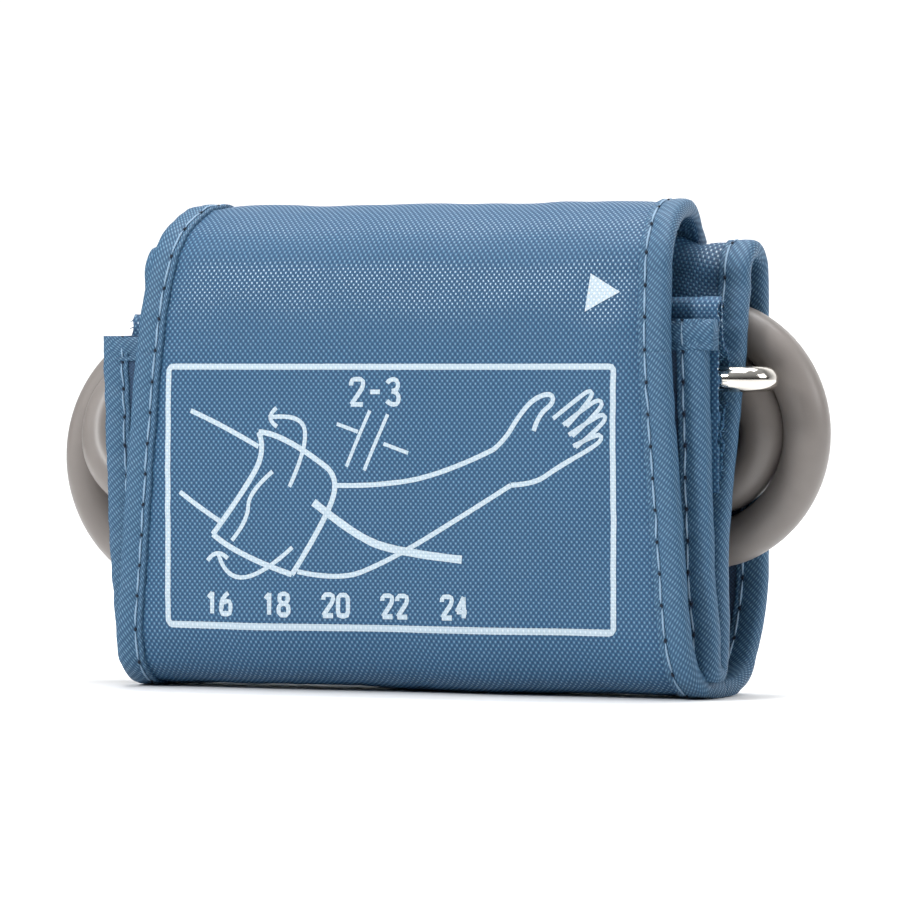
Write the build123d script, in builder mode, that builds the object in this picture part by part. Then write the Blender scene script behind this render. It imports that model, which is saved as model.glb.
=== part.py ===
# A small D-ring upper-arm blood pressure cuff, wrapped flat into a packet that stands on its fold.
# Millimetres. X runs along the packet, Y from front to back, Z up; the origin is on the base.
# The strip is followed from its ring end: down behind the front panel, round the lower fold, up
# through the ring, over the upper fold, down the back, round the base, up the front and over.
import os
from math import pi, radians, tan

from build123d import *

# the strip and its layers
skin = 0.8  # one layer of fabric
bladder_layer = 0.6
core = 2 * skin + bladder_layer  # the strip inside its binding
tape = 0.3  # binding tape
binding_width = 5.0
tape_fold = 0.5  # the tape's fold, past the cut edge of the layers
roll_half_width = 54.5
ring_end_half_width, ring_end_shift = 54.2, -1.6
inner_half_width, inner_shift = 54.0, 1.7
bladder_half_width, bladder_end_z = 46.0, 57.0

# heights where the panels meet, and the hinge lines on their outer faces
front_fold_z, flap_fold_z = 14.0, 67.0
body_gap = 0.2  # either side of a hinge line, and round the base's filled-out skin
front_foot_half, front_top_half, flap_end_half = 50.9, 46.8, 43.6

# the D-ring and its casing
wire_radius = 2.1
ring_front_y, ring_back_y, ring_z = -4.8, 3.45, 51.8
ring_left_x, ring_right_x = -58.4, 61.2
tunnel_radius = 2.16
casing_wall = 0.6
casing_top_z, casing_foot_z, casing_half_width = 64.3, 32.5, 50.8

# how far sections and outlines run before they are cut to each other
reach, outline_margin = 100.0, 30.0

# hook and loop patches
patch_thick, patch_corner = 0.9, 4.0
loop_half_width, loop_low_z, loop_high_z = 44.0, 20.0, 52.0
hook_half_width, hook_front_y, hook_back_y = 36.0, -3.0, 12.6

# the hose, its coil, its port on the inner panel and its air plug
hose_radius = 3.9
coil_y, coil_z = 9.65, 43.1
outer_turn_radius, inner_turn_radius = 18.1, 10.2
coil_end_x = 46.8
coil_edge = 2.4
port_x, flange_radius, flange_thick = -8.0, 5.2, 0.8
block_length, block_width, block_height, block_corner = 12.0, 6.0, 4.0, 2.5
nipple_radius, nipple_length = 3.4, 16.0
port_foot_x, port_foot_z = 2.0, 33.6
plug_x, plug_y, plug_z = -2.0, 0.6, 24.0
plug_radius, plug_length, nose_radius, nose_length = 4.5, 22.0, 3.0, 12.0
air_way_radius, plug_chamfer = 1.3, 0.6
rib_count, rib_pitch, groove_width, groove_depth = 5, 3.2, 1.4, 0.4
lead_y, lead_z = 1.1, 33.0
lead_route = [
    (port_x, lead_y, lead_z),
    (-26, lead_y, lead_z),
    (-44, 1.4, 33.2),
    (-56, 3.2, 37.5),
    (-61, 9.0, 44.0),
]
plug_route = [(40, 9.4, 25.1), (27, 8.2, 24.9), (12, plug_y, plug_z), (plug_x, plug_y, plug_z)]

# the strip's line on its loop side, panel by panel: points (y, z) and bend radii
ring_end_y = -10.1
front_fold_low, flap_fold_high = front_fold_z - body_gap, flap_fold_z + body_gap
inner_low, inner_high = (-4.4, 27), (-0.8, 47.5)
ring_end_line = [(ring_end_y, 61.5), (ring_end_y, 20), (-8.3, 12.5), (-8.3, 9)], [20, 8]
lower_fold_line = [(-8.3, 9), (-8.3, 3.2), (-2.9, 3.2), (-2.9, 9)], [2.65, 2.65]
inner_line = (
    [(-2.9, 9), (-2.9, 12), (-4.4, 19.5), inner_low, inner_high, (0.85, 51.8), (3.9, 61.5), (5.5, 66)],
    [8, 8, 12, 10, 8, 20],
)
upper_fold_line = [(5.5, 66), (5.5 + 5.5 * 1.6 / 4.5, 71.5), (13.9, 71.5), (13.9, 64)], [2.2, 2.6]
back_line = [(13.9, 64), (13.9, 22)], []
base_line = (
    [(13.9, 22), (13.9, 19), (12.1, 10.5), (7.6, 2.5), (-8.4, 2.5), (-12.5, 9.4), (-12.5, front_fold_low)],
    [12, 12, 5, 5, 4],
)
front_line = [(-12.5, front_fold_z + body_gap), (-12.5, 55), (-9.9, flap_fold_z - body_gap)], [30]
flap_line = (
    [(-9.8, flap_fold_high), (-9.0, 70.4), (-5.6, 74.8), (-0.2, 77.9), (5.4, 78.9), (9.8, 77.9), (13.2, 75)],
    [5, 6, 8, 8, 6],
)
# outlines seen from the front (x, z) or from above (x, y): the half width at each end
roll_outline = Plane.XY, -60, roll_half_width, 60, roll_half_width, 0
ring_end_outline = Plane.XY, -60, ring_end_half_width, 60, ring_end_half_width, ring_end_shift
lower_fold_outline = Plane.XY, -60, ring_end_half_width, 60, ring_end_half_width, 0
inner_outline = Plane.XY, -60, inner_half_width, 60, inner_half_width, inner_shift
base_outline = Plane.XY, -14.7, front_foot_half, 13.9, roll_half_width, 0
front_outline = Plane.XZ, front_fold_z, front_foot_half, flap_fold_z, front_top_half, 0
flap_outline = Plane.XY, -11.2, front_top_half, 14.6, flap_end_half, 0


def strip_face(line, start, thick):
    """One layer's section: it starts this far from the strip's line, on the left of it."""
    points, bends = line
    on_left = (start + thick, Side.LEFT, Mode.ADD), (start, Side.LEFT, Mode.SUBTRACT)
    on_right = (-start, Side.RIGHT, Mode.ADD)
    with BuildSketch(Plane.YZ) as section:
        for amount, side, mode in (*on_left, on_right):
            if amount > 0:
                with BuildLine():
                    if bends:
                        FilletPolyline(*points, radius=bends)
                    else:
                        Line(*points)
                    offset(amount=amount, side=side)
                make_face(mode=mode)
    return section.sketch


def outline_face(outline, inset):
    """The panel's flat outline, this far inside its two long edges."""
    plane, a, half_a, b, half_b, shift = outline
    slope = (half_b - half_a) / (b - a)
    low = a - outline_margin, half_a - outline_margin * slope - inset
    high = b + outline_margin, half_b + outline_margin * slope - inset
    with BuildSketch(plane) as face:
        with BuildLine():
            Polyline(
                (shift - low[1], low[0]),
                (shift + low[1], low[0]),
                (shift + high[1], high[0]),
                (shift - high[1], high[0]),
                close=True,
            )
        make_face()
    return face.sketch


def layer(line, outline, start, thick, inset):
    with BuildPart() as piece:
        extrude(strip_face(line, start, thick), amount=reach, both=True)
        extrude(outline_face(outline, inset), amount=reach, both=True, mode=Mode.INTERSECT)
    return piece


def binding(line, outline):
    """Tape folded round both long edges of a panel: a channel on each side."""
    with BuildPart() as piece:
        extrude(strip_face(line, -tape, core + 2 * tape), amount=reach, both=True)
        extrude(outline_face(outline, 0), amount=reach, both=True, mode=Mode.INTERSECT)
        extrude(outline_face(outline, binding_width), amount=reach, both=True, mode=Mode.SUBTRACT)
        add(layer(line, outline, 0, core, tape_fold).part, mode=Mode.SUBTRACT)
    return piece


def hose(points):
    """A round tube along straight runs with tangent arcs as large as the runs allow."""
    corners = [Vector(*point) for point in points]
    bends = []
    for before, corner, after in zip(corners, corners[1:], corners[2:]):
        run_in, run_out = corner - before, after - corner
        half_turn = radians(run_in.get_angle(run_out)) / 2
        bends.append(0.45 * min(run_in.length, run_out.length) / tan(half_turn))
    with BuildPart() as piece:
        with BuildLine() as path:
            FilletPolyline(*points, radius=bends)
        with BuildSketch(Plane(path.line @ 0, z_dir=path.line % 0)):
            Circle(hose_radius)
        sweep()
    share = piece.part.volume / (pi * hose_radius**2 * path.wire().length)
    print("hose bend radii", [round(bend, 1) for bend in bends], "volume share", round(share, 4))
    return piece


def write(piece, label):
    piece.part.label = label
    export_step(piece.part, f"parts/{label}.step")


os.makedirs("parts", exist_ok=True)

# loop-side fabric, skin-side fabric and binding of each panel, and the bladder between them
panels = {
    "ring_end": (ring_end_line, ring_end_outline),
    "lower_fold": (lower_fold_line, lower_fold_outline),
    "inner_panel": (inner_line, inner_outline),
    "upper_fold": (upper_fold_line, roll_outline),
    "back_panel": (back_line, roll_outline),
    "base_fold": (base_line, base_outline),
    "front_panel": (front_line, front_outline),
    "closing_flap": (flap_line, flap_outline),
}
with_bladder = "ring_end", "lower_fold", "inner_panel"
for name, (line, outline) in panels.items():
    shell_thick = skin if name in with_bladder else core - skin
    write(layer(line, outline, 0, skin, tape_fold), f"{name}_lining")
    cover = layer(line, outline, core - shell_thick, shell_thick, tape_fold)
    if name == "base_fold":
        # between its bindings the skin fills out level with them, so the packet stands on it
        with cover:
            add(layer(line, outline, core, tape, binding_width + body_gap).part)
    write(cover, f"{name}_cover")
    write(binding(line, outline), f"{name}_binding")
    if name in with_bladder:
        bladder = layer(line, outline, skin, bladder_layer, roll_half_width - bladder_half_width)
        if name == "ring_end":
            # the bladder stops short of the sewn end
            with bladder:
                split(bisect_by=Plane.XY.offset(bladder_end_z), keep=Keep.BOTTOM)
        write(bladder, f"{name}_bladder")

# casing sewn to the ring end: two leaves of fabric with a tunnel for the ring
casing_y = ring_end_y + core + tape + casing_wall
with BuildPart() as ring_casing:
    with BuildSketch(Plane.YZ):
        with Locations((casing_y, (casing_top_z + casing_foot_z) / 2)):
            Rectangle(2 * casing_wall, casing_top_z - casing_foot_z)
        with Locations((ring_front_y, ring_z)):
            Circle(tunnel_radius + casing_wall)
            Circle(tunnel_radius, mode=Mode.SUBTRACT)
    extrude(amount=casing_half_width, both=True)
write(ring_casing, "ring_casing")

# closed wire ring: its front bar turns in the casing, its back bar holds the inner panel
with BuildPart() as d_ring:
    with BuildLine(Plane.XY.offset(ring_z)) as ring_line:
        left, right = ring_left_x + wire_radius, ring_right_x - wire_radius
        FilletPolyline(
            (left, ring_front_y),
            (right, ring_front_y),
            (right, ring_back_y),
            (left, ring_back_y),
            radius=0.98 * (ring_back_y - ring_front_y) / 2,
            close=True,
        )
    with BuildSketch(Plane(ring_line.line @ 0, z_dir=ring_line.line % 0)):
        Circle(wire_radius)
    sweep()
write(d_ring, "d_ring")

# loop patch on the ring end's outer face, hook patch under the closing flap
with BuildPart() as loop_patch:
    with BuildSketch(Plane.XZ.offset(-ring_end_y)):
        with Locations((0, (loop_low_z + loop_high_z) / 2)):
            RectangleRounded(2 * loop_half_width, loop_high_z - loop_low_z, patch_corner)
    extrude(amount=patch_thick)
write(loop_patch, "loop_patch")

with BuildPart() as hook_patch:
    extrude(strip_face(flap_line, -patch_thick, patch_thick), amount=reach, both=True)
    with BuildSketch(Plane.XY):
        with Locations((0, (hook_front_y + hook_back_y) / 2)):
            Rectangle(2 * hook_half_width, hook_back_y - hook_front_y)
    extrude(amount=reach, mode=Mode.INTERSECT)
write(hook_patch, "hook_patch")

# two turns of hose lying flat between the inner panel and the back
with BuildPart() as hose_coil:
    with BuildSketch(Plane.XZ.offset(-coil_y)):
        with Locations((0, coil_z)):
            SlotCenterToCenter(2 * coil_end_x, 2 * (outer_turn_radius + hose_radius))
            SlotCenterToCenter(2 * coil_end_x, 2 * (inner_turn_radius - hose_radius), mode=Mode.SUBTRACT)
    extrude(amount=hose_radius, both=True)
    fillet(hose_coil.edges().filter_by(Axis.Y, reverse=True), coil_edge)
write(hose_coil, "hose_coil")

# the hose's two straight ends, which run on into the coil
for label, route in ("hose_lead", lead_route), ("hose_plug_end", plug_route):
    write(hose(route), label)

# port: a flange bonded to the inner panel's lining, and a nipple that the hose is pushed on to
slant = (Vector(0, *inner_high) - Vector(0, *inner_low)).normalized()
foot = Vector(port_foot_x, *inner_low) + slant * ((port_foot_z - inner_low[1]) / slant.Z)
outward = Vector(0, slant.Z, -slant.Y)
with BuildPart() as hose_port:
    with BuildSketch(Plane(foot, x_dir=(1, 0, 0), z_dir=outward)):
        Circle(flange_radius)
    extrude(amount=flange_thick)
    with BuildSketch(Plane(foot, x_dir=(1, 0, 0), z_dir=outward)):
        RectangleRounded(block_length, block_width, block_corner)
    extrude(amount=block_height)
    with BuildSketch(Plane((port_x, lead_y, lead_z), x_dir=(0, 1, 0), z_dir=(1, 0, 0))):
        Circle(nipple_radius)
    extrude(amount=nipple_length)
write(hose_port, "hose_port")

# air plug: a ribbed grip, a plain push-in nose, and the air way through both
grip_end, tip = plug_x - plug_length, plug_x - plug_length - nose_length
with BuildPart() as air_plug:
    with BuildSketch(Plane.XY.offset(plug_z)):
        with BuildLine():
            Polyline(
                (plug_x, plug_y),
                (plug_x, plug_y + plug_radius - plug_chamfer),
                (plug_x - plug_chamfer, plug_y + plug_radius),
                (grip_end, plug_y + plug_radius),
                (grip_end, plug_y + nose_radius),
                (tip + plug_chamfer, plug_y + nose_radius),
                (tip, plug_y + nose_radius - plug_chamfer),
                (tip, plug_y),
                close=True,
            )
        make_face()
    revolve(axis=Axis((plug_x, plug_y, plug_z), (1, 0, 0)))
    with BuildSketch(Plane((tip, plug_y, plug_z), z_dir=(1, 0, 0))):
        Circle(air_way_radius)
    extrude(amount=nose_length + plug_length, mode=Mode.SUBTRACT)
    for rib in range(rib_count):
        groove_x = plug_x - rib_pitch * (rib + 1.5)
        with BuildSketch(Plane((groove_x, plug_y, plug_z), z_dir=(-1, 0, 0))):
            Circle(plug_radius + groove_depth)
            Circle(plug_radius - groove_depth, mode=Mode.SUBTRACT)
        extrude(amount=groove_width, mode=Mode.SUBTRACT)
write(air_plug, "air_plug")
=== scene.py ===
from math import ceil, cos, exp, pi, radians, sin

import bmesh
import bpy
import numpy as np
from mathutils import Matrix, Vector, noise


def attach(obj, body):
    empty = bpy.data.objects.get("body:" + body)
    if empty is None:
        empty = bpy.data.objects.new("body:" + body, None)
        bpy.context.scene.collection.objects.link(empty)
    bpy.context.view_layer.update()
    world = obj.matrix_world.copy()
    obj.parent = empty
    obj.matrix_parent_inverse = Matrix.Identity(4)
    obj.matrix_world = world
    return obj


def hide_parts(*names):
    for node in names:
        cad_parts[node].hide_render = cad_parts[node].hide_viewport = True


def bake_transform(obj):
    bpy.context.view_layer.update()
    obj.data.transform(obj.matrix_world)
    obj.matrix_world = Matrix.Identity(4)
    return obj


# A small D-ring pressure cuff, wrapped flat round its hose. The cloth, the hose's points and the print
# are in millimetres; the frame, the camera, the lamps and the sweep are in metres.
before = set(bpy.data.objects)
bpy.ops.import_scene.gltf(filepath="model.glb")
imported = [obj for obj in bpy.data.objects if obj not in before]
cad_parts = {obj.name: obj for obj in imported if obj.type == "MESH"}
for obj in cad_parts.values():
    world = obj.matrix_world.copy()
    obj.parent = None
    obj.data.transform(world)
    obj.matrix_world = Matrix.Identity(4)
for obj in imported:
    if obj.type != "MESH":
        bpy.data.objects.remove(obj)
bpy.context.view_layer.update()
metre = 0.001
scene = bpy.context.scene
print("frame loaded,", len(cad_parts), "nodes")

# camera, floor and light
camera = {"azimuth": 23.0, "elevation": 0.9, "distance": 0.88, "lens": 212.0, "aim": (0.0036, 0.0, 0.040)}
sensorWidth, nearestSeen = 36.0, 0.01
# each lamp: place, what it looks at, size, power
lamps = {
    "keySoft": ((-0.35, -0.70, 0.54), (0.0, 0.0, 0.06), 0.21, 5.4),
    "overheadSoft": ((0.02, -0.10, 0.70), (0.0, 0.0, 0.05), 0.50, 2.2),
    "leftSoft": ((-0.70, -0.35, 0.25), (0.0, 0.0, 0.04), 0.40, 0.8),
    "rightRim": ((0.60, 0.05, 0.30), (0.0, 0.0, 0.04), 0.25, 1.0),
    "sweepLight": ((0.0, 0.35, 1.0), (0.0, 1.0, 0.35), 0.80, 16.0),
}
room = {"dimBelow": -0.1, "brightAbove": 0.9, "strength": 0.42, "colour": (0.95, 0.97, 1.0, 1.0)}
sweep = {"front": -2.0, "bend": 0.75, "radius": 0.6, "top": 2.2, "half": 2.5, "rows": 60}


def makeCamera():
    azimuth, elevation = radians(camera["azimuth"]), radians(camera["elevation"])
    level = cos(elevation)
    toCamera = Vector((sin(azimuth) * level, -cos(azimuth) * level, sin(elevation)))
    data = bpy.data.cameras.new("camera")
    data.lens, data.sensor_width, data.clip_start = camera["lens"], sensorWidth, nearestSeen
    view = bpy.data.objects.new("camera", data)
    view.location = Vector(camera["aim"]) + toCamera * camera["distance"]
    view.rotation_euler = (-toCamera).to_track_quat("-Z", "Y").to_euler()
    scene.collection.objects.link(view)
    scene.camera = view


def makeLight():
    for name, (spot, aim, size, power) in lamps.items():
        data = bpy.data.lights.new(name, "AREA")
        data.size, data.energy = size, power
        lamp = bpy.data.objects.new(name, data)
        lamp.location = spot
        lamp.rotation_euler = (Vector(aim) - Vector(spot)).to_track_quat("-Z", "Y").to_euler()
        scene.collection.objects.link(lamp)
    # the room is dim at eye level and bright overhead
    world = bpy.data.worlds.new("studio")
    world.use_nodes = True
    tree = world.node_tree
    way = node(tree, "ShaderNodeTexCoord")
    height = node(tree, "ShaderNodeSeparateXYZ", None, [way], output=2)
    strength = height.step(room["dimBelow"], room["brightAbove"]) * room["strength"]
    background = tree.nodes["Background"]
    tree.links.new(strength.socket, background.inputs["Strength"])
    background.inputs["Color"].default_value = room["colour"]
    scene.world = world
    scene.view_settings.view_transform = "Standard"


# floor and backdrop in one curved sheet
def makeSweep():
    bm = bmesh.new()
    bmesh.ops.create_grid(bm, x_segments=2, y_segments=sweep["rows"], size=1.0)
    flat = sweep["bend"] - sweep["front"]
    curve = sweep["radius"] * pi / 2
    total = flat + curve + sweep["top"] - sweep["radius"]
    for vert in bm.verts:
        run = (vert.co.y + 1) / 2 * total
        y, z = sweep["front"] + run, 0.0
        if run > flat:
            turn = min(run - flat, curve) / sweep["radius"]
            y = sweep["bend"] + sweep["radius"] * sin(turn)
            z = sweep["radius"] * (1 - cos(turn)) + max(run - flat - curve, 0.0)
        vert.co = (vert.co.x * sweep["half"], y, z)
    newPiece("sweep", bm, [floorPaint()])


# shader sums are written as Python expressions on these
class Wire:
    def __init__(self, tree, socket):
        self.tree, self.socket = tree, socket

    def sum(self, operation, *values):
        return node(self.tree, "ShaderNodeMath", {"operation": operation}, list(values))

    def __add__(self, other):
        return self.sum("ADD", self, other)

    def __sub__(self, other):
        return self.sum("SUBTRACT", self, other)

    def __rsub__(self, other):
        return self.sum("SUBTRACT", other, self)

    def __mul__(self, other):
        return self.sum("MULTIPLY", self, other)

    __radd__ = __add__
    __rmul__ = __mul__

    def cosine(self):
        return self.sum("COSINE", self)

    def above(self, low=0.0):
        return self.sum("MAXIMUM", self, low)

    def below(self, high=1.0):
        return self.sum("MINIMUM", self, high)

    # 0 up to low, 1 from high on, and smooth between them
    def step(self, low, high):
        settings = {"interpolation_type": "SMOOTHSTEP"}
        return node(self.tree, "ShaderNodeMapRange", settings, [self, low, high, 0.0, 1.0])


# a new shader node with its settings and inputs; the wire from one of its outputs comes back
def node(tree, kind, settings=None, values=(), output=0):
    made = tree.nodes.new(kind)
    for name, value in (settings or {}).items():
        setattr(made, name, value)
    pairs = values.items() if isinstance(values, dict) else enumerate(values)
    for key, value in pairs:
        if isinstance(value, Wire):
            tree.links.new(value.socket, made.inputs[key])
        elif value is not None:
            made.inputs[key].default_value = value
    return Wire(tree, made.outputs[output])


# the sockets of the mix node that carry colours
mixSockets = {"amount": 0, "first": 6, "second": 7, "result": 2}
objectOutput = 3


def mixColour(tree, amount, first, second):
    values = {mixSockets["amount"]: amount, mixSockets["first"]: first, mixSockets["second"]: second}
    return node(tree, "ShaderNodeMix", {"data_type": "RGBA"}, values, output=mixSockets["result"])


# one channel of a screen colour, 0 to 255, as linear light
def linear(channel):
    if channel > 10:
        return ((channel / 255 + 0.055) / 1.055) ** 2.4
    return channel / 255 / 12.92


def paint(red, green, blue):
    return (linear(red), linear(green), linear(blue), 1.0)


def noiseAt(tree, place, scale, detail):
    return node(tree, "ShaderNodeTexNoise", None, {"Vector": place, "Scale": scale, "Detail": detail})


def objectPlace(tree):
    return node(tree, "ShaderNodeTexCoord", None, (), output=objectOutput)


def newMaterial(name, roughness=0.5, **settings):
    made = bpy.data.materials.new(name)
    made.use_nodes = True
    shader = made.node_tree.nodes["Principled BSDF"]
    shader.inputs["Roughness"].default_value = roughness
    for socket, value in settings.items():
        shader.inputs[socket.replace("_", " ")].default_value = value
    return made, made.node_tree, shader


def feed(tree, shader, colour=None, height=None, roughness=None, distance=0.0002, strength=1.0):
    if colour is not None:
        tree.links.new(colour.socket, shader.inputs["Base Color"])
    if roughness is not None:
        tree.links.new(roughness.socket, shader.inputs["Roughness"])
    if height is not None:
        values = {"Strength": strength, "Distance": distance, "Height": height}
        bump = node(tree, "ShaderNodeBump", None, values)
        tree.links.new(bump.socket, shader.inputs["Normal"])


def clothCoordinates(tree):
    place = node(tree, "ShaderNodeUVMap", {"uv_map": "cloth"})
    parts = place.tree.nodes.new("ShaderNodeSeparateXYZ")
    tree.links.new(place.socket, parts.inputs[0])
    return place, Wire(tree, parts.outputs[0]), Wire(tree, parts.outputs[1])


# a plain weave: near +1 where a yarn crosses over, near -1 where it goes under
def yarns(tree, across, along, pitchAcross, pitchAlong):
    return (across * (pi / pitchAcross)).cosine() * (along * (pi / pitchAlong)).cosine()


def floorPaint():
    made, _, shader = newMaterial("floorPaint", roughness=0.9)
    shader.inputs["Base Color"].default_value = (0.92, 0.92, 0.92, 1.0)
    return made


# yarn pitches in millimetres and screen colours
oxford = {"across": 0.45, "along": 0.53, "deep": (14, 52, 88), "mid": (30, 84, 121), "pale": (88, 142, 174)}
tapeCloth = {
    "rib": 0.30,
    "dash": 0.62,
    "deep": (34, 70, 102),
    "mid": (60, 101, 131),
    "pale": (112, 152, 178),
}
brushed = {"pitch": 0.32, "deep": (22, 46, 74), "pale": (56, 92, 126)}
threadTwist = 0.22


def oxfordCloth(name="oxfordNylon", printed=False):
    finish = {"Specular_IOR_Level": 0.6, "Coat_Roughness": 0.34, "Coat_IOR": 1.6}
    made, tree, shader = newMaterial(name, roughness=0.5, **finish)
    place, across, along = clothCoordinates(tree)
    wander = noiseAt(tree, place, 0.06, 2.0)
    weave = yarns(tree, across + wander * 0.7, along + wander * 0.5, oxford["across"], oxford["along"])
    over, under = weave.above(), (weave * -1.0).above()
    sheenMottle = noiseAt(tree, place, 0.9, 3.0)
    # painted shade between the yarns: those that go under are painted darker; painted highlight: the raised
    # yarns are painted paler, more in some places than others
    colour = mixColour(tree, under * 0.9 + 0.1, paint(*oxford["mid"]), paint(*oxford["deep"]))
    colour = mixColour(tree, over.step(0.25, 0.95) * (0.6 + sheenMottle * 0.4), colour, paint(*oxford["pale"]))
    if printed:
        # the ink is also painted paler on the raised yarns, as a painted highlight
        cover = over.step(0.1, 0.9) * 0.5 + 0.3
        colour = mixColour(tree, cover, paint(160, 182, 198), paint(212, 223, 230))
    # the yarns on top shine
    tree.links.new(over.step(0.35, 0.95).socket, shader.inputs["Coat Weight"])
    height = over + under * 0.45
    feed(tree, shader, colour, height, 0.70 - over * 0.44, distance=0.00014, strength=0.7)
    return made


def tapeWeave():
    made, tree, shader = newMaterial("bindingTape", roughness=0.5, Specular_IOR_Level=0.45)
    place, across, along = clothCoordinates(tree)
    ribs = ((across - along * 0.8) * (pi / tapeCloth["rib"])).cosine()
    dashes = ((across * 0.8 + along) * (pi / tapeCloth["dash"])).cosine()
    over = ((ribs * 0.5 + 0.5) * (dashes * 0.35 + 0.65)).below()
    sheenMottle = noiseAt(tree, place, 0.5, 3.0)
    # painted shade in the low parts of the weave and a painted highlight on its raised ribs, uneven with
    # noise
    colour = mixColour(tree, over.step(0.0, 0.5), paint(*tapeCloth["deep"]), paint(*tapeCloth["mid"]))
    colour = mixColour(tree, over.step(0.45, 1.0) * (0.45 + sheenMottle * 0.5), colour, paint(*tapeCloth["pale"]))
    feed(tree, shader, colour, over, 0.66 - over * 0.25, distance=0.0001, strength=0.7)
    return made


def brushedLining():
    made, tree, shader = newMaterial("brushedLining", roughness=0.85, Sheen_Weight=0.3, Sheen_Roughness=0.5)
    place, across, along = clothCoordinates(tree)
    weave = yarns(tree, across, along, brushed["pitch"], brushed["pitch"])
    fuzz = noiseAt(tree, place, 2.2, 4.0)
    colour = mixColour(tree, weave * 0.35 + fuzz * 0.6, paint(*brushed["deep"]), paint(*brushed["pale"]))
    feed(tree, shader, colour, weave * 0.6 + fuzz, distance=0.0001, strength=0.6)
    return made


def threadPaint():
    made, tree, shader = newMaterial("sewingThread", roughness=0.45)
    _, across, along = clothCoordinates(tree)
    twist = ((across * 0.9 + along) * (pi / threadTwist)).cosine()
    # the ridges of the twist are painted paler: a painted highlight on the thread
    colour = mixColour(tree, twist * 0.5 + 0.5, paint(96, 136, 172), paint(176, 204, 226))
    feed(tree, shader, colour, twist, distance=0.00005, strength=0.5)
    return made


# painted shade: dark discs at each stitch's ends stand for the shadow in its needle holes
def holeShadePaint():
    made, tree, shader = newMaterial("needleHoleShade", roughness=0.9)
    place = clothCoordinates(tree)[0]
    # the painted shade in the holes is uneven with noise
    holeShadeNoise = node(tree, "ShaderNodeTexNoise", None, {"Vector": place, "Scale": 3.0})
    feed(tree, shader, mixColour(tree, holeShadeNoise, paint(8, 16, 28), paint(22, 38, 58)))
    return made


def hoseVinyl():
    finish = {"Specular_IOR_Level": 0.4, "Coat_Weight": 0.12, "Coat_Roughness": 0.3}
    made, tree, shader = newMaterial("hoseVinyl", roughness=0.42, **finish)
    place = objectPlace(tree)
    cloud = noiseAt(tree, place, 60.0, 4.0)
    grain = noiseAt(tree, place, 2600.0, 2.0)
    colour = mixColour(tree, cloud.step(0.35, 0.7), paint(118, 112, 108), paint(129, 123, 119))
    feed(tree, shader, colour, grain, cloud * 0.10 + 0.34, distance=0.00003, strength=0.25)
    return made


def nickelWire():
    made, tree, shader = newMaterial("nickelWire", roughness=0.12, Metallic=1.0)
    place = objectPlace(tree)
    smear = noiseAt(tree, place, 240.0, 3.0)
    colour = mixColour(tree, smear, paint(206, 200, 190), paint(232, 228, 220))
    feed(tree, shader, colour, smear, smear * 0.12 + 0.06, distance=0.00002, strength=0.15)
    return made


def mouldedPlastic(name, first, second, roughness):
    made, tree, shader = newMaterial(name, roughness=roughness)
    place = objectPlace(tree)
    cloud = noiseAt(tree, place, 90.0, 3.0)
    grain = noiseAt(tree, place, 3000.0, 2.0)
    colour = mixColour(tree, cloud, paint(*first), paint(*second))
    feed(tree, shader, colour, grain, cloud * 0.1 + roughness, distance=0.00002, strength=0.3)
    return made


def patchPile(name, first, second, scale, height):
    made, tree, shader = newMaterial(name, roughness=0.9, Sheen_Weight=0.4)
    place = clothCoordinates(tree)[0]
    curls = node(tree, "ShaderNodeTexVoronoi", None, {"Vector": place, "Scale": scale})
    fuzz = noiseAt(tree, place, scale * 1.7, 4.0)
    colour = mixColour(tree, curls * 0.7 + fuzz * 0.4, paint(*first), paint(*second))
    feed(tree, shader, colour, 1.0 - curls + fuzz * 0.4, distance=height, strength=0.9)
    return made


def newPiece(name, bm, materials):
    mesh = bpy.data.meshes.new(name)
    bm.to_mesh(mesh)
    bm.free()
    for material in materials:
        mesh.materials.append(material)
    mesh.shade_smooth()
    made = bpy.data.objects.new(name, mesh)
    scene.collection.objects.link(made)
    return made


# the strip's line on its loop side, as (y, z) from the ring end to the tip
stripRoute = [
    (-9.9, 61.5), (-10.1, 56), (-10.1, 22), (-9.1, 15), (-8.3, 9.5), (-8.3, 3.2), (-2.9, 3.2), (-2.9, 9.5),
    (-3.4, 14), (-4.4, 20), (-4.4, 27), (-0.9, 46), (0.9, 52), (3.9, 61.5), (5.5, 66), (7.5, 71.6),
    (13.9, 71.6), (13.9, 64), (13.9, 24), (13.5, 17), (12.1, 10.5), (8.4, 2.5), (-8.2, 2.5), (-12.5, 9.4),
    (-12.5, 17), (-12.5, 50), (-11.7, 60), (-9.9, 67), (-8.6, 71.4), (-5.4, 75.2), (-0.2, 78.0),
    (5.4, 79.0), (10.0, 77.9), (13.4, 75.0),
]
stripCloth = {"thick": 2.2, "edge": 0.6, "bindWidth": 5.0, "stitch": 5.1, "stitchIn": 3.9, "tape": 0.42}
# how far the loose parts hang or fill, and how high each kind of crease stands
drop = {"ringEnd": 2.5, "upperFold": 1.9, "flap": 1.7}
crease = {"pinch": 0.22, "gather": 0.38, "ripple": 0.07, "broad": 0.80, "small": 0.18, "slack": 0.7}
# the inner face follows the creases less than the outer one
innerShare = 0.7
meshStep = {"across": 1.0, "along": 0.9, "tape": 0.6, "ink": 0.5, "route": 20}
tableClearance = 0.02


# a smooth run of points along a route whose corners pull the line towards them
def smoothRoute(points):
    control = [Vector(p) for p in points]
    halfway = [(a + b) / 2 for a, b in zip(control[1:], control[2:-1])]
    ends = [control[0]] + halfway + [control[-1]]
    fine = []
    for start, middle, end in zip(ends, control[1:-1], ends[1:]):
        for i in range(meshStep["route"]):
            t = i / meshStep["route"]
            fine.append(start * (1 - t) ** 2 + middle * 2 * t * (1 - t) + end * t * t)
    fine.append(ends[-1])
    return np.array([tuple(p) for p in fine])


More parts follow.
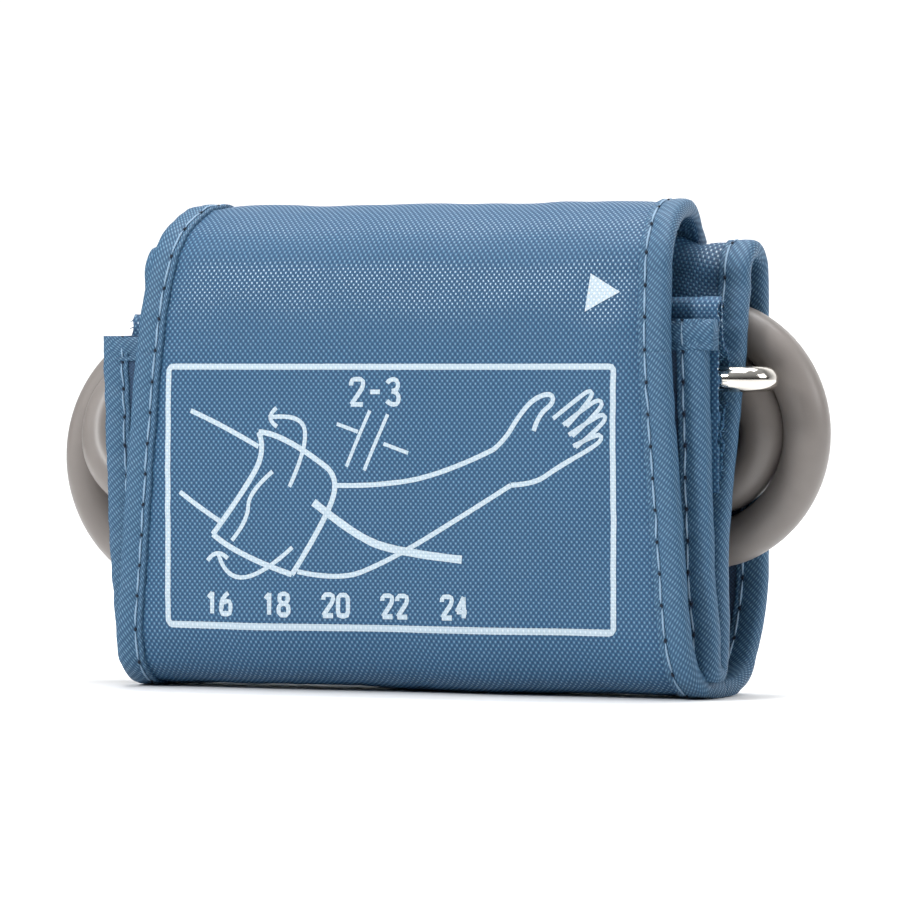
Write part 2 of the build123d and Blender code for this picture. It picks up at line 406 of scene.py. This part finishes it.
class ClothLine:
    def __init__(self, points):
        self.fine = smoothRoute(points)
        steps = np.linalg.norm(np.diff(self.fine, axis=0), axis=1)
        self.run = np.concatenate([[0.0], np.cumsum(steps)])
        self.length = float(self.run[-1])

    def at(self, s):
        return np.array([np.interp(s, self.run, self.fine[:, k]) for k in (0, 1)])

    def near(self, y, z):
        gaps = np.linalg.norm(self.fine - np.array((y, z)), axis=1)
        return float(self.run[np.argmin(gaps)])

    # the point this far along the line, across it and off it; nothing sinks into the table
    def place(self, s, x, h):
        here = self.at(s)
        way = self.at(min(s + 0.5, self.length)) - self.at(max(s - 0.5, 0.0))
        way = way / np.linalg.norm(way)
        z = here[1] + way[0] * h + self.sag(s, x, here[1])
        return Vector((x, here[0] - way[1] * h, max(z, tableClearance))) * metre

    def sag(self, s, x, z):
        return 0.0


def ramp(value, low, high):
    share = min(max((value - low) / (high - low), 0.0), 1.0)
    return share * share * (3 - 2 * share)


# the wrapped strip: its ring end hangs lower on the left, its upper fold is full in the middle,
# and the flap's two sides drop on to that fold behind the crest
class WrappedStrip(ClothLine):
    def sag(self, s, x, z):
        ringEnd = -drop["ringEnd"] * ramp(-x, 12, 54) * exp(-s / 14)
        rise = ramp(s, mark["ring"] + 6, mark["upperFold"] - 5)
        fall = ramp(-s, -mark["upperFold"] - 7, -mark["upperFold"])
        full = drop["upperFold"] * (rise * fall) * (1 - ramp(abs(x), 38, 48))
        flap = -drop["flap"] * ramp(abs(x), 26, 42) * ramp(s, mark["crest"], mark["tip"] - 1)
        return ringEnd + full + flap


# the casing hangs with the ring end it is sewn to
class Casing(ClothLine):
    def sag(self, s, x, z):
        return -drop["ringEnd"] * ramp(-x, 12, 52) * ramp(z, 55, 62)


strip = WrappedStrip(stripRoute)
mark = {
    "ringEnd": 0.0,
    "lowerFold": strip.near(-5.6, 3.2),
    "ring": strip.near(0.9, 52),
    "upperFold": strip.near(10.7, 71.6),
    "baseBack": strip.near(13.5, 17),
    "baseMiddle": strip.near(0.0, 2.5),
    "frontFold": strip.near(-12.5, 14),
    "flapSeam": strip.near(-12.1, 56),
    "flapFold": strip.near(-9.9, 67),
    "crest": strip.near(5.4, 79),
    "tip": strip.length,
}
widthNames = ("ringEnd", "lowerFold", "ring", "upperFold", "baseBack", "frontFold", "flapFold", "tip")
widthMarks = [mark[name] for name in widthNames]
halfWidths = [54.2, 54.0, 54.0, 55.2, 54.5, 50.9, 46.8, 43.6]
sideShifts = [-1.8, 0.0, 1.5, -1.0, -0.3, 0.0, 0.0, 0.0]


def halfWidth(s):
    return float(np.interp(s, widthMarks, halfWidths)) + 0.22 * noise.noise((s / 9.0, 4.2, 0.0))


def sideShift(s):
    return float(np.interp(s, widthMarks, sideShifts))


# how far the cloth stands off its line: pinched by the binding, gathered by the stitches, loose elsewhere
def relief(s, x):
    inward = max(halfWidth(s) - abs(x - sideShift(s)) - stripCloth["bindWidth"], 0.0)
    side = 1.0 if x > 0 else -1.0
    pinch = -crease["pinch"] * exp(-inward / 1.1)
    gather = crease["gather"] * exp(-inward / 5.5) * noise.noise((s / 2.6, side * 7.0, inward / 14.0))
    ripple = crease["ripple"] * exp(-inward / 3.0) * cos(2 * pi * s / stripCloth["stitch"])
    waves = crease["broad"] * noise.noise((x / 24.0, s / 20.0, 3.1))
    waves += crease["small"] * noise.noise((x / 7.0, s / 8.0, 8.0))
    broad = (1 - exp(-inward / 6.0)) * waves
    slack = crease["slack"] * exp(-((inward - 4.0) / 5.0) ** 2)
    slack *= ramp(s, mark["upperFold"] - 16, mark["upperFold"] - 6)
    slack *= ramp(-s, -mark["upperFold"] - 14, -mark["upperFold"] - 2) * sin((s + inward * 1.6) / 2.6)
    return pinch + gather + ripple + broad + slack


# a closed slab of cloth: one grid for each face, joined round the rim
def clothMesh(name, line, start, end, half, top, bottom, materials, shift=None):
    across = int(2 * half(start) / meshStep["across"])
    along = int(ceil((end - start) / meshStep["along"]))
    bm = bmesh.new()
    runLayer, acrossLayer = bm.verts.layers.float.new("run"), bm.verts.layers.float.new("across")
    for side, height in enumerate((top, bottom)):
        before = set(bm.verts)
        bmesh.ops.create_grid(bm, x_segments=across, y_segments=along, size=1.0)
        fresh = [v for v in bm.verts if v not in before]
        for vert in fresh:
            s = start + (end - start) * (vert.co.y + 1) / 2
            x = half(s) * vert.co.x + (shift(s) if shift else 0.0)
            vert[runLayer], vert[acrossLayer] = s, x
            vert.co = line.place(s, x, height(s, x))
        if side == 0:
            for face in bm.faces:
                face.material_index = 0
                face.tag = True
        else:
            turned = [f for f in bm.faces if not f.tag]
            for face in turned:
                face.material_index = 1
            bmesh.ops.reverse_faces(bm, faces=turned)
    rim = [e for e in bm.edges if e.is_boundary]
    for edge in rim:
        edge.smooth = False
    made = bmesh.ops.bridge_loops(bm, edges=rim)
    for face in made["faces"]:
        face.material_index = 1
    uv = bm.loops.layers.uv.new("cloth")
    for face in bm.faces:
        for loop in face.loops:
            loop[uv].uv = (loop.vert[acrossLayer], loop.vert[runLayer])
    bmesh.ops.recalc_face_normals(bm, faces=bm.faces)
    return newPiece(name, bm, materials)


def stripPanel(name, start, end, materials):
    thick = stripCloth["thick"]
    return clothMesh(
        name, strip, start, end,
        lambda s: halfWidth(s) - stripCloth["edge"],
        lambda s, x: thick + relief(s, x),
        lambda s, x: innerShare * relief(s, x),
        materials, sideShift,
    )


def stitchDip(s):
    gap = (s / stripCloth["stitch"]) % 1.0
    return exp(-((min(gap, 1 - gap) * stripCloth["stitch"] / 0.9) ** 2))


# the tape's outline across one edge: (distance in from the edge, height)
def bindingSection():
    thick, tape = stripCloth["thick"], stripCloth["tape"]
    face = [
        (5.05, 0.05), (4.95, tape), (4.5, tape * 0.95), (3.9, tape * 0.55),
        (3.3, tape * 0.95), (2.2, tape * 1.1), (1.1, tape), (0.35, tape * 0.5),
    ]
    top = [(e, thick + t) for e, t in face]
    bottom = [(e, -t) for e, t in reversed(face)]
    return top + [(0.0, thick * 0.75), (-0.08, thick * 0.5), (0.0, thick * 0.25)] + bottom


def edgeLift(s, side):
    return 0.8 * relief(s, side * (halfWidth(s) - 5.6) + sideShift(s)) + 0.12


# tape folded round one edge; spot(run, inset, height) says where a point of it goes
def tapeMesh(name, spot, start, end, material, pleats=1.0):
    section = bindingSection()
    count = len(section)
    rows = int(ceil((end - start) / meshStep["tape"]))
    bm = bmesh.new()
    bmesh.ops.create_grid(bm, x_segments=count, y_segments=rows, size=1.0)
    uv = bm.loops.layers.uv.new("cloth")
    closed = section + section[:1]
    girth = [0.0]
    for here, there in zip(closed, closed[1:]):
        girth.append(girth[-1] + abs(there[0] - here[0]) + abs(there[1] - here[1]))
    where = {}
    for vert in bm.verts:
        run = start + (end - start) * (vert.co.y + 1) / 2
        slot = int(round((vert.co.x + 1) / 2 * count))
        inset, height = closed[slot]
        if abs(inset - stripCloth["stitchIn"]) < 0.1:
            height += (-1 if height > 0 else 1) * 0.22 * stitchDip(run)
        height += pleats * 0.10 * noise.noise((run / 2.2, inset / 2.0, 1.7))
        vert.co = spot(run, inset, height)
        where[vert.index] = (girth[slot], run)
    for face in bm.faces:
        for loop in face.loops:
            loop[uv].uv = where[loop.vert.index]
    bmesh.ops.remove_doubles(bm, verts=bm.verts, dist=1e-7)
    bmesh.ops.holes_fill(bm, edges=[e for e in bm.edges if e.is_boundary], sides=0)
    bmesh.ops.recalc_face_normals(bm, faces=bm.faces)
    return newPiece(name, bm, [material])


def bindingEdge(name, start, end, side, material):
    def spot(s, inset, height):
        x = side * (halfWidth(s) - inset) + sideShift(s)
        return strip.place(s, x, height + edgeLift(s, side))
    return tapeMesh(name, spot, start, end, material)


# the same tape across one end of the strip
def bindingEnd(name, atEnd, material):
    way = -1 if atEnd else 1
    foot = mark["tip"] if atEnd else 0.0
    half = halfWidth(foot) - 0.3

    def spot(x, inset, height):
        s = foot + way * inset
        return strip.place(s, x, height + 0.9 * relief(s, x) + 0.08)
    return tapeMesh(name, spot, -half, half, material, pleats=1.4)


def joinPieces(name, pieces):
    bpy.ops.object.select_all(action="DESELECT")
    for piece in pieces:
        piece.select_set(True)
    bpy.context.view_layer.objects.active = pieces[0]
    bpy.ops.object.join()
    pieces[0].name = name
    return pieces[0]


# each stitch is a long thread bead and a flat dark disc at its end, painted shade for the needle hole, on
# both faces of both edges
beads = {
    "thread": {"offset": 0.5, "reach": 0.43, "wide": 0.19, "round": 8, "rings": 8, "slot": 0},
    "hole": {"offset": 0.0, "reach": 0.06, "wide": 0.27, "round": 6, "rings": 5, "slot": 1},
}


def stitchBead(bm, bead, i, side, face, level, slant, reach, where):
    pitch = stripCloth["stitch"]
    made = bmesh.ops.create_uvsphere(bm, u_segments=bead["round"], v_segments=bead["rings"], radius=1.0)
    for vert in made["verts"]:
        run = vert.co.z
        s = (i + bead["offset"] + run * reach) * pitch
        edge = side * (halfWidth(s) - stripCloth["stitchIn"]) + sideShift(s)
        x = edge + vert.co.x * bead["wide"] + slant * run
        arch = -0.10 if bead["slot"] else 0.15 * (1 - run**4) - 0.13
        rise = level + face * arch + vert.co.y * 0.17 + edgeLift(s, side)
        where[vert] = (vert.co.x, s)
        vert.co = strip.place(s, x, rise)
    for polygon in {f for v in made["verts"] for f in v.link_faces}:
        polygon.material_index = bead["slot"]


def stitchRows(name, start, end, materials):
    pitch, thick, tape = stripCloth["stitch"], stripCloth["thick"], stripCloth["tape"]
    first, last = int(ceil(start / pitch)), int(ceil(min(end, mark["tip"] - pitch) / pitch))
    bm = bmesh.new()
    uv = bm.loops.layers.uv.new("cloth")
    where = {}
    for side in (-1, 1):
        for face, level in ((1, thick + tape), (-1, -tape)):
            for i in range(first, last):
                slant = 0.22 * noise.noise((i * 3.7, side * 5.0, face))
                uneven = 1.0 + 0.2 * noise.noise((i * 2.3, side * 3.0, face + 4.0))
                thread, hole = beads["thread"], beads["hole"]
                stitchBead(bm, thread, i, side, face, level, slant, thread["reach"] * uneven, where)
                stitchBead(bm, hole, i, side, face, level, slant, hole["reach"], where)
    for face in bm.faces:
        for loop in face.loops:
            loop[uv].uv = where[loop.vert]
    bmesh.ops.recalc_face_normals(bm, faces=bm.faces)
    return newPiece(name, bm, materials)


makeCamera()
makeLight()
makeSweep()
print("camera and light set")

# each turn of the coil: the middle of its bend (x, z) and its radius
hose = {
    "diameter": 7.8,
    "coilY": 9.65,
    "innerRight": (45.0, 43.1, 10.2),
    "outerLeft": (-48.6, 38.4, 19.8),
    "outerRight": (44.2, 42.9, 18.7),
}
leadRoute = [
    (-8, 1.1, 33.0), (-24, 1.1, 33.0), (-42, 1.4, 31.8), (-55, 2.6, 31.8),
    (-63.4, 4.4, 38.5), (-63.2, 7.2, 48.6), (-55.5, 9.4, 53.6),
]
plugRoute = [(40, 9.4, 25.1), (27, 8.2, 24.9), (12, 0.6, 24.0), (-2, 0.6, 24.0)]


# one half turn at an end of the coil, with its control points a little outside the bend they draw
def turnEnd(side, bend, upward):
    middle, height, radius = bend
    swell = radius * 1.035
    points = []
    for i in range(6):
        angle = radians(-75 + 30 * i) * (1 if upward else -1)
        points.append((middle + side * swell * cos(angle), hose["coilY"], height + swell * sin(angle)))
    return points


def hoseRoute():
    y = hose["coilY"]
    top = [(x, y, 53.3 + 0.3 * sin(x / 9.0)) for x in (-38, -20, -2, 14, 30)]
    low = [(30, y, 32.9), (14, y, 32.6), (-2, y, 31.0), (-16, y, 26.4), (-28, y, 21.0), (-40, y, 18.6)]
    high = [(-42, y, 58.4), (-26, y, 60.0), (-8, y, 61.4), (10, y, 61.6), (28, y, 61.7)]
    right = turnEnd(1, hose["innerRight"], False)
    left = turnEnd(-1, hose["outerLeft"], True)
    lastRight = turnEnd(1, hose["outerRight"], False)
    return leadRoute + top + right + low + left + high + lastRight + plugRoute


def makeHose():
    points = hoseRoute()
    data = bpy.data.curves.new("hose", "CURVE")
    data.dimensions = "3D"
    data.resolution_u = 8
    data.bevel_depth = hose["diameter"] / 2 * metre
    data.bevel_resolution = 8
    data.use_fill_caps = True
    spline = data.splines.new("NURBS")
    spline.points.add(len(points) - 1)
    for control, point in zip(spline.points, points):
        control.co = (*[c * metre for c in point], 1.0)
    spline.order_u = 3
    spline.use_endpoint_u = True
    made = bpy.data.objects.new("hose", data)
    scene.collection.objects.link(made)
    made.data.materials.append(hoseVinyl())
    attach(made, "roll")
    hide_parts("hose_coil", "hose_lead", "hose_plug_end")


makeHose()

cover, lining, tape, thread, holes = oxfordCloth(), brushedLining(), tapeWeave(), threadPaint(), holeShadePaint()
# the strip in the lengths that move together, and the named nodes that each stands for
bodies = {
    "roll": ("ringEnd", "baseMiddle"),
    "front": ("baseMiddle", "flapSeam"),
    "flap": ("flapSeam", "tip"),
}
nodesOf = {
    "roll": ["ring_end", "lower_fold", "inner_panel", "upper_fold", "back_panel", "base_fold"],
    "front": ["front_panel"],
    "flap": ["closing_flap"],
}


def carry(piece, part):
    if part == "roll":
        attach(piece, "roll")
    else:
        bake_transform(piece)


def makeStrip():
    for part, (first, last) in bodies.items():
        start, end = mark[first], mark[last]
        panel = stripPanel(part + "Cloth", start, end, [cover, lining])
        carry(panel, part)
        covers = [n + "_cover" for n in nodesOf[part]]
        linings = [n + "_lining" for n in nodesOf[part]]
        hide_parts(*covers, *linings)
        wide = 2 * (halfWidth((start + end) / 2) - stripCloth["edge"]) * metre
        edges = [bindingEdge(part + "Edge", start, end, side, tape) for side in (-1, 1)]
        if part != "front":
            edges.append(bindingEnd(part + "End", part == "flap", tape))
        binding = joinPieces(part + "Binding", edges)
        carry(binding, part)
        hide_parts(*[n + "_binding" for n in nodesOf[part]])
        rows = stitchRows(part + "Stitches", start, end, [thread, holes])
        carry(rows, part)
        print(part, "cloth, binding and stitches made")


makeStrip()


# the casing's line as (y, z): up from its foot, out round the ring, to its top edge and down again
casingRoute = [
    (-5.5, 32.5), (-5.7, 40), (-5.6, 46.5), (-2.2, 48.7), (-1.6, 51.8), (-2.2, 54.9), (-5.5, 57),
    (-5.9, 61), (-5.9, 64.6), (-7.2, 64.6), (-7.1, 58), (-7.1, 33.5),
]
casingCloth = {"half": 52.5, "thick": 0.55, "shift": 1.2}
fray = {"count": 84, "root": 52.3, "thickEnd": 0.00012, "thinEnd": 0.00005}


def crumple(s, x):
    return 0.15 * noise.noise((x / 5.0, s / 5.0, 1.0)) + 0.06 * noise.noise((x / 1.6, s / 1.6, 2.0))


def makeCasing():
    line = Casing(casingRoute)
    casing = clothMesh(
        "ringCasing", line, 0.0, line.length,
        lambda s: casingCloth["half"] + 0.7 * noise.noise((s / 1.9, 0, 5.0)),
        crumple,
        lambda s, x: crumple(s, x) - casingCloth["thick"],
        [cover, cover], lambda s: casingCloth["shift"],
    )
    # raw ends shed loose threads
    bm = bmesh.new()
    uv = bm.loops.layers.uv.new("cloth")
    for i in range(fray["count"]):
        side = 1 if i % 2 else -1
        s = line.length * (i + 0.5 + 1.4 * noise.noise((i * 5.1, 1.0, 0.0))) / fray["count"]
        root = line.place(s, casingCloth["shift"] + side * fray["root"], -0.2)
        lean = 0.8 * noise.noise((i * 1.7, 0.3, 0.0))
        rise = 1.6 * noise.noise((i * 2.9, 5.0, 0.0)) - 0.2
        way = Vector((side, lean, rise))
        reach = (1.0 + 1.6 * noise.noise((i * 4.3, 2.0, 0.0))) * metre
        made = bmesh.ops.create_cone(
            bm, segments=5, radius1=fray["thickEnd"], radius2=fray["thinEnd"], depth=1.0, cap_ends=True,
        )
        turn = way.normalized().to_track_quat("Z", "Y")
        for vert in made["verts"]:
            bow = (vert.co.z + 0.5) * reach
            vert.co = root + turn @ Vector((vert.co.x, vert.co.y, bow))
    for face in bm.faces:
        for loop in face.loops:
            loop[uv].uv = (loop.vert.co.x / metre, loop.vert.co.z / metre)
    frays = newPiece("frayedThreads", bm, [tape])
    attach(frays, "roll")
    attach(casing, "roll")
    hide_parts("ring_casing")


makeCasing()
print("casing made")


# a patch sewn flat on the lining, its uneven pile standing off by deep
def makePatch(name, start, end, half, deep, tuft, grain, material):
    return clothMesh(
        name, strip, start, end,
        lambda s: half,
        lambda s, x: innerShare * relief(s, x) + 0.1,
        lambda s, x: innerShare * relief(s, x) - deep + tuft * noise.noise((x / grain, s / grain, 0.0)),
        [material, material],
    )


def makePatches():
    pile = patchPile("loopPile", (30, 58, 88), (84, 122, 158), 1.4, 0.0004)
    hooks = patchPile("hookTape", (16, 34, 54), (52, 84, 116), 1.0, 0.0005)
    start, end = strip.near(-10.1, 52), strip.near(-10.1, 22)
    loops = makePatch("loopPatch", start, end, 44.0, 0.8, 0.12, 1.2, pile)
    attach(loops, "roll")
    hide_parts("loop_patch")
    start, end = strip.near(-3.0, 76.5), strip.near(12.6, 75.7)
    tapePatch = makePatch("hookPatch", start, end, 36.0, 0.85, 0.06, 0.9, hooks)
    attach(tapePatch, "closing_flap")
    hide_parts("hook_patch")


makePatches()

# ink on the front panel, in (x, height) on the panel: strokes with a width, drawn as flat ribbons
ink = {"line": 0.95, "thin": 0.75, "lift": 0.07}
frameBox = {"left": -41.2, "right": 38.4, "low": 11.2, "high": 53.7, "corner": 1.6}
arrowHead = [(32.9, 62.2), (33.3, 68.3), (38.7, 65.3)]
# digits on a unit cell, each a list of strokes; cells are narrower than they are high
digitShape = {"wide": 0.52, "pitch": 0.78}
digits = {
    "0": [[(0.5, 1), (0, 1), (0, 0.5), (0, 0), (0.5, 0), (1, 0), (1, 0.5), (1, 1), (0.5, 1)]],
    "1": [[(0.15, 0.75), (0.55, 1)], [(0.55, 1.03), (0.55, 0)]],
    "2": [[(0, 0.75), (0, 1), (0.5, 1), (1, 1), (1, 0.7), (0.6, 0.4), (0.03, 0)], [(0, 0), (1, 0)]],
    "3": [[(0, 0.85), (0.2, 1), (0.9, 1), (0.95, 0.55), (0.4, 0.53)],
          [(0.4, 0.53), (1, 0.5), (1, 0), (0.3, 0), (0, 0.15)]],
    "4": [[(0.7, 0), (0.7, 1)], [(0.72, 1), (0, 0.28)], [(0, 0.28), (1, 0.28)]],
    "6": [[(0.75, 1), (0.1, 0.75), (0, 0.3), (0, 0), (0.5, 0), (1, 0), (1, 0.3), (1, 0.6), (0.5, 0.6),
           (0.05, 0.5), (0.03, 0.2)]],
    "8": [[(0.5, 0.53), (0.08, 0.55), (0.08, 1), (0.5, 1), (0.92, 1), (0.92, 0.55), (0.5, 0.53)],
          [(0.5, 0.53), (0, 0.5), (0, 0), (0.5, 0), (1, 0), (1, 0.5), (0.5, 0.53)]],
    "-": [[(0.1, 0.5), (0.9, 0.5)]],
}
# an arm reaching right with a cuff on it, its hose, and arrows for the way it is wrapped: routes and widths
drawing = [
    ([(-37, 46.5), (-31, 44.0), (-24.5, 40.6)], 0.8),
    ([(-39, 33.0), (-35.5, 30.5), (-31.5, 28.0)], 0.8),
    ([(-24.5, 43.0), (-23.0, 40.0), (-27.5, 33.0), (-33.0, 26.0)], 0.9),
    ([(-24.5, 43.0), (-20.5, 43.0), (-12.5, 37.5)], 0.9),
    ([(-33.0, 26.0), (-28.5, 22.5), (-18.5, 19.5)], 0.9),
    ([(-12.5, 37.5), (-9.5, 35.5), (-13.5, 27.0), (-18.5, 19.5)], 0.9),
    ([(-22.0, 36.5), (-26.5, 33.0), (-26.5, 28.5), (-29.5, 25.0)], 0.7),
    ([(-10.8, 34.3), (-4, 34.2), (8, 36.0), (17.5, 40.4)], 0.8),
    ([(-17.5, 20.0), (-10, 18.6), (-2, 21.6), (10, 28.2), (20.5, 34.6)], 0.8),
    ([(17.5, 40.4), (19.5, 42.0), (21.6, 45.4), (24.4, 48.6),
      (27.6, 49.6), (28.2, 48.0), (25.4, 46.0), (24.6, 43.4)], 0.8),
    ([(20.5, 34.6), (24.6, 34.8), (28.6, 37.4), (31.6, 39.0)], 0.8),
    ([(28.0, 45.4), (32.2, 48.6), (34.6, 50.2), (35.0, 48.8), (30.4, 44.2)], 0.7),
    ([(29.8, 44.4), (34.4, 47.8), (36.4, 48.6), (36.6, 47.0), (31.4, 42.6)], 0.7),
    ([(30.8, 42.8), (35.6, 45.8), (37.2, 46.2), (37.0, 44.6), (32.0, 40.8)], 0.7),
    ([(31.6, 41.0), (35.4, 42.8), (36.6, 42.8), (36.2, 41.4), (31.6, 39.0)], 0.7),
    ([(-14.6, 31.5), (-8, 26.6), (0, 23.4), (12.0, 22.4)], 1.3),
    ([(-22.8, 45.4), (-16.5, 46.2), (-15.8, 40.0), (-19.0, 34.0)], 0.7),
    ([(-32.0, 23.0), (-30.6, 18.6), (-24.0, 19.2), (-18.5, 24.0)], 0.7),
    ([(-21.4, 47.0), (-23.6, 45.3), (-21.2, 43.9)], 0.7),
    ([(-33.9, 21.6), (-32.2, 23.9), (-30.2, 22.0)], 0.7),
    ([(-8.6, 37.4), (-6.6, 42.0), (-4.6, 46.6)], 0.6),
    ([(-5.4, 36.8), (-3.4, 41.4), (-1.4, 46.0)], 0.6),
    ([(-10.4, 44.4), (-8.0, 43.6), (-6.6, 43.1)], 0.6),
    ([(-2.0, 41.2), (0.6, 40.3), (2.4, 39.7)], 0.6),
]


def panelRun(z):
    first, last = np.searchsorted(strip.run, (mark["frontFold"] - 4.0, mark["flapFold"] + 8.0))
    return float(np.interp(z, strip.fine[first:last, 1], strip.run[first:last]))


def inkSpot(x, z):
    s = panelRun(z)
    return strip.place(s, x, stripCloth["thick"] + relief(s, x) + ink["lift"]), (x, s)


def ribbon(bm, uv, route, width):
    points = smoothRoute(route)
    steps = np.concatenate([[0.0], np.cumsum(np.linalg.norm(np.diff(points, axis=0), axis=1))])
    count = max(int(ceil(steps[-1] / meshStep["ink"])), 2)
    made = bmesh.ops.create_grid(bm, x_segments=count, y_segments=2, size=1.0)
    where = {}
    for vert in made["verts"]:
        run = (vert.co.x + 1) / 2 * steps[-1]
        here, ahead, behind = (
            np.array([np.interp(run + step, steps, points[:, k]) for k in (0, 1)])
            for step in (0.0, 0.05, -0.05)
        )
        way = (ahead - behind) / max(np.linalg.norm(ahead - behind), 1e-9)
        half = vert.co.y * width / 2 * (1 + 0.08 * noise.noise((run * 1.3, width, 0.0)))
        vert.co, where[vert] = inkSpot(here[0] - way[1] * half, here[1] + way[0] * half)
    for face in {f for v in made["verts"] for f in v.link_faces}:
        for loop in face.loops:
            loop[uv].uv = where[loop.vert]


def writeNumber(bm, uv, text, x, z, height):
    for letter in text:
        for stroke in digits[letter]:
            route = [(x + height * digitShape["wide"] * a, z + height * b) for a, b in stroke]
            if len(route) == 2:
                (ax, az), (bx, bz) = route
                route.insert(1, ((ax + bx) / 2, (az + bz) / 2))
            ribbon(bm, uv, route, ink["thin"])
        x += height * digitShape["pitch"]


# the frame's outline, a little uneven as ink on cloth is
def frameOutline():
    left, right, low, high, corner = frameBox.values()
    outline = [((left + right) / 2, high)]
    for x, z, dx, dz in ((right, high, -1, -1), (right, low, -1, 1), (left, low, 1, 1), (left, high, 1, -1)):
        fillet = [(x + dx * corner, z), (x, z), (x, z + dz * corner)]
        outline += fillet if (dx, dz) in ((-1, -1), (1, 1)) else fillet[::-1]
    outline.append(outline[0])
    wavy = []
    for x, z in outline:
        sideways = 0.25 * noise.noise((z / 9.0, 1.0, 0.0))
        wavy.append((x + sideways, z + 0.3 * noise.noise((x / 12.0, 2.0, 0.0))))
    return wavy


def makeFrontPrint(material):
    bm = bmesh.new()
    uv = bm.loops.layers.uv.new("cloth")
    ribbon(bm, uv, frameOutline(), ink["line"])
    for route, width in drawing:
        ribbon(bm, uv, route, width)
    writeNumber(bm, uv, "2-3", -8.0, 47.6, 4.1)
    for i, value in enumerate(("16", "18", "20", "22", "24")):
        writeNumber(bm, uv, value, -34.0 + 10.6 * i, 12.9, 3.4)
    bmesh.ops.recalc_face_normals(bm, faces=bm.faces)
    inked = newPiece("frontPrint", bm, [material])
    carry(inked, "front")


# the solid triangle on the flap, from a grid drawn in to a point
def makeFlapPrint(material):
    bm = bmesh.new()
    uv = bm.loops.layers.uv.new("cloth")
    bmesh.ops.create_grid(bm, x_segments=10, y_segments=10, size=1.0)
    a, b, c = (np.array(p) for p in arrowHead)
    where = {}
    for vert in bm.verts:
        u, v = (vert.co.x + 1) / 2, (vert.co.y + 1) / 2
        side = a + (b - a) * v
        x, z = side + (c - side) * u * 0.995
        vert.co, where[vert] = inkSpot(x, z)
    for face in bm.faces:
        for loop in face.loops:
            loop[uv].uv = where[loop.vert]
    bmesh.ops.recalc_face_normals(bm, faces=bm.faces)
    pointer = newPiece("flapPrint", bm, [material])
    carry(pointer, "flap")


printedInk = oxfordCloth("printedInk", printed=True)
makeFrontPrint(printedInk)
makeFlapPrint(printedInk)
print("print laid on")

nodeFinishes = {
    "d_ring": nickelWire(),
    "hose_port": mouldedPlastic("portPlastic", (148, 142, 136), (160, 154, 148), 0.3),
    "air_plug": mouldedPlastic("plugPlastic", (170, 168, 164), (182, 180, 176), 0.28),
}
film = mouldedPlastic("bladderFilm", (170, 168, 160), (186, 184, 178), 0.4)
for name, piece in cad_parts.items():
    finish = nodeFinishes.get(name) or (film if name.endswith("_bladder") else None)
    if finish:
        piece.data.materials.clear()
        piece.data.materials.append(finish)
print("carried-over pieces finished")
